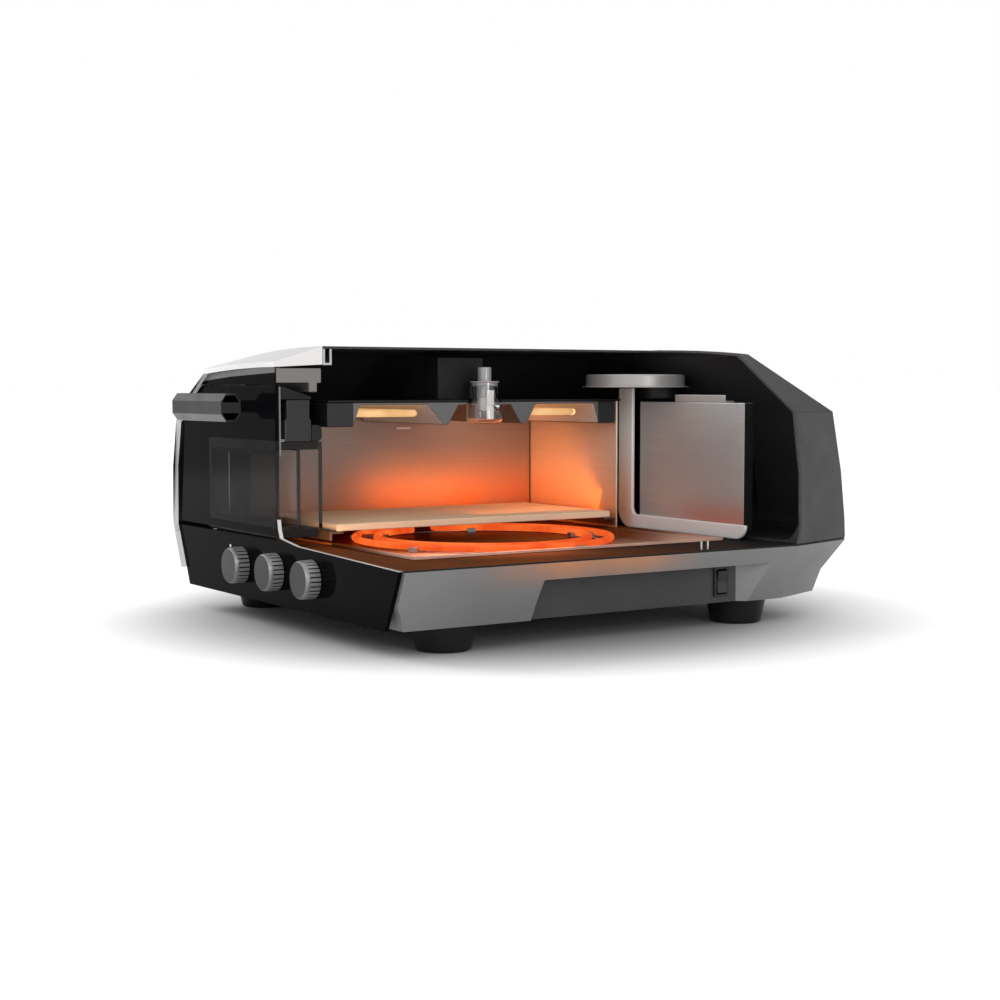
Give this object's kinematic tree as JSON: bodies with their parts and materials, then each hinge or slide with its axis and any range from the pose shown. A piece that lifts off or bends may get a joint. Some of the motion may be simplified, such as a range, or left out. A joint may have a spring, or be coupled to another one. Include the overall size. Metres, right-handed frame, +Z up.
{
  "type": "electric pizza oven",
  "caption": "Countertop electric pizza oven shown as a cutaway: faceted shell, drop-down glass door with bar handle, ribbed dials, baking stone, coil and tube heaters",
  "frame": {"origin": "on the floor under the middle of the bounding box", "axes": "+X to the right seen from the front, +Y from the door to the rear, +Z up"},
  "size_m": [0.497, 0.6106, 0.28],
  "materials": {
    "gloss_black": "gloss black, mirror smooth",
    "tinted_glass": "black tinted toughened glass",
    "satin_silver": "satin silver trim",
    "base_grey": "heat-resistant moulding painted metallic mid-grey, fine texture",
    "cover_grey": "heat-resistant moulding painted charcoal, fine texture",
    "shell_grey": "fine-textured charcoal powder coat",
    "inner_black": "matt black, heat resistant",
    "brushed_steel": "fine brushed stainless sheet",
    "light_grey": "light grey coated sheet",
    "cast_grey": "satin cast alloy",
    "stone": "matt cream cordierite, fine-grained",
    "element_glow": "oxidised sheath, glowing when hot",
    "clear_glass": "clear toughened glass",
    "ceramic": "off-white glazed ceramic",
    "knob_grey": "warm dark grey satin",
    "handle_grey": "warm dark grey anodised, satin",
    "rubber": "matt black rubber",
    "insulation": "felted mineral wool board",
    "board": "green circuit board",
    "dark_plastic": "matt black plastic",
    "zinc": "zinc-plated steel",
    "white_light": "white light-diffusing plastic"
  },
  "bodies": {
    "oven_body": {"base_shell": "base_grey", "base_deck": "brushed_steel", "foot_front_left": "rubber", "foot_front_right": "rubber", "foot_rear_left": "rubber", "foot_rear_right": "rubber", "upper_shell": "shell_grey", "rear_shell": "cover_grey", "control_fascia": "gloss_black", "top_fascia": "gloss_black", "visor_trim": "satin_silver", "corner_trim": "satin_silver", "front_frame": "light_grey", "roof_rail": "zinc", "element_tray": "brushed_steel", "chamber_side_wall": "brushed_steel", "chamber_rear_wall": "brushed_steel", "ceiling_plate": "inner_black", "ceiling_reflector": "cast_grey", "side_insulation": "insulation", "rear_insulation": "insulation", "baking_stone": "stone", "stone_frame": "light_grey", "lower_element": "element_glow", "element_support": "zinc", "upper_element_front": "element_glow", "upper_element_rear": "element_glow", "lamp_glass": "clear_glass", "lamp_socket": "ceramic", "lamp_bulb": "white_light", "lamp_bracket": "dark_plastic", "rear_frame": "light_grey", "rear_panel": "brushed_steel", "fan_housing": "light_grey", "fan_motor": "dark_plastic", "fan_bracket": "light_grey", "hinge_bracket": "zinc", "encoder_board": "dark_plastic", "status_light": "white_light", "switch_housing": "dark_plastic", "power_inlet": "dark_plastic", "control_board": "board"},
    "door": {"door_outer_glass": "tinted_glass", "door_middle_glass": "clear_glass", "door_inner_glass": "clear_glass", "door_bottom_rail": "inner_black", "door_side_rail": "inner_black", "door_cross_bar": "inner_black", "door_block": "cast_grey", "door_cap": "inner_black", "door_channel": "light_grey", "door_seal": "rubber", "handle_bar": "handle_grey", "handle_post": "handle_grey", "hinge_pin": "zinc"},
    "left_dial": {"knob_left": "knob_grey"},
    "middle_dial": {"knob_middle": "knob_grey"},
    "right_dial": {"knob_right": "knob_grey"},
    "power_rocker": {"rocker_switch": "gloss_black"}
  },
  "joints": [
    {"name": "door_hinge", "type": "hinge", "parent": "oven_body", "child": "door", "pos_m": [-0.1788, -0.2407, 0.0985], "axis": [1, 0, 0], "range_deg": [0, 90]},
    {"name": "left_dial_turn", "type": "hinge", "parent": "oven_body", "child": "left_dial", "pos_m": [-0.0786, -0.2487, 0.059], "axis": [0, 1, 0], "range_deg": [0, 270]},
    {"name": "middle_dial_turn", "type": "hinge", "parent": "oven_body", "child": "middle_dial", "pos_m": [0, -0.2487, 0.059], "axis": [0, 1, 0], "range_deg": [0, 270]},
    {"name": "right_dial_turn", "type": "hinge", "parent": "oven_body", "child": "right_dial", "pos_m": [0.0786, -0.2487, 0.059], "axis": [0, 1, 0], "range_deg": [0, 270]},
    {"name": "rocker_tilt", "type": "hinge", "parent": "oven_body", "child": "power_rocker", "pos_m": [0.2179, 0.1323, 0.0465], "axis": [0, -1, 0], "range_deg": [0, 9]}
  ]
}
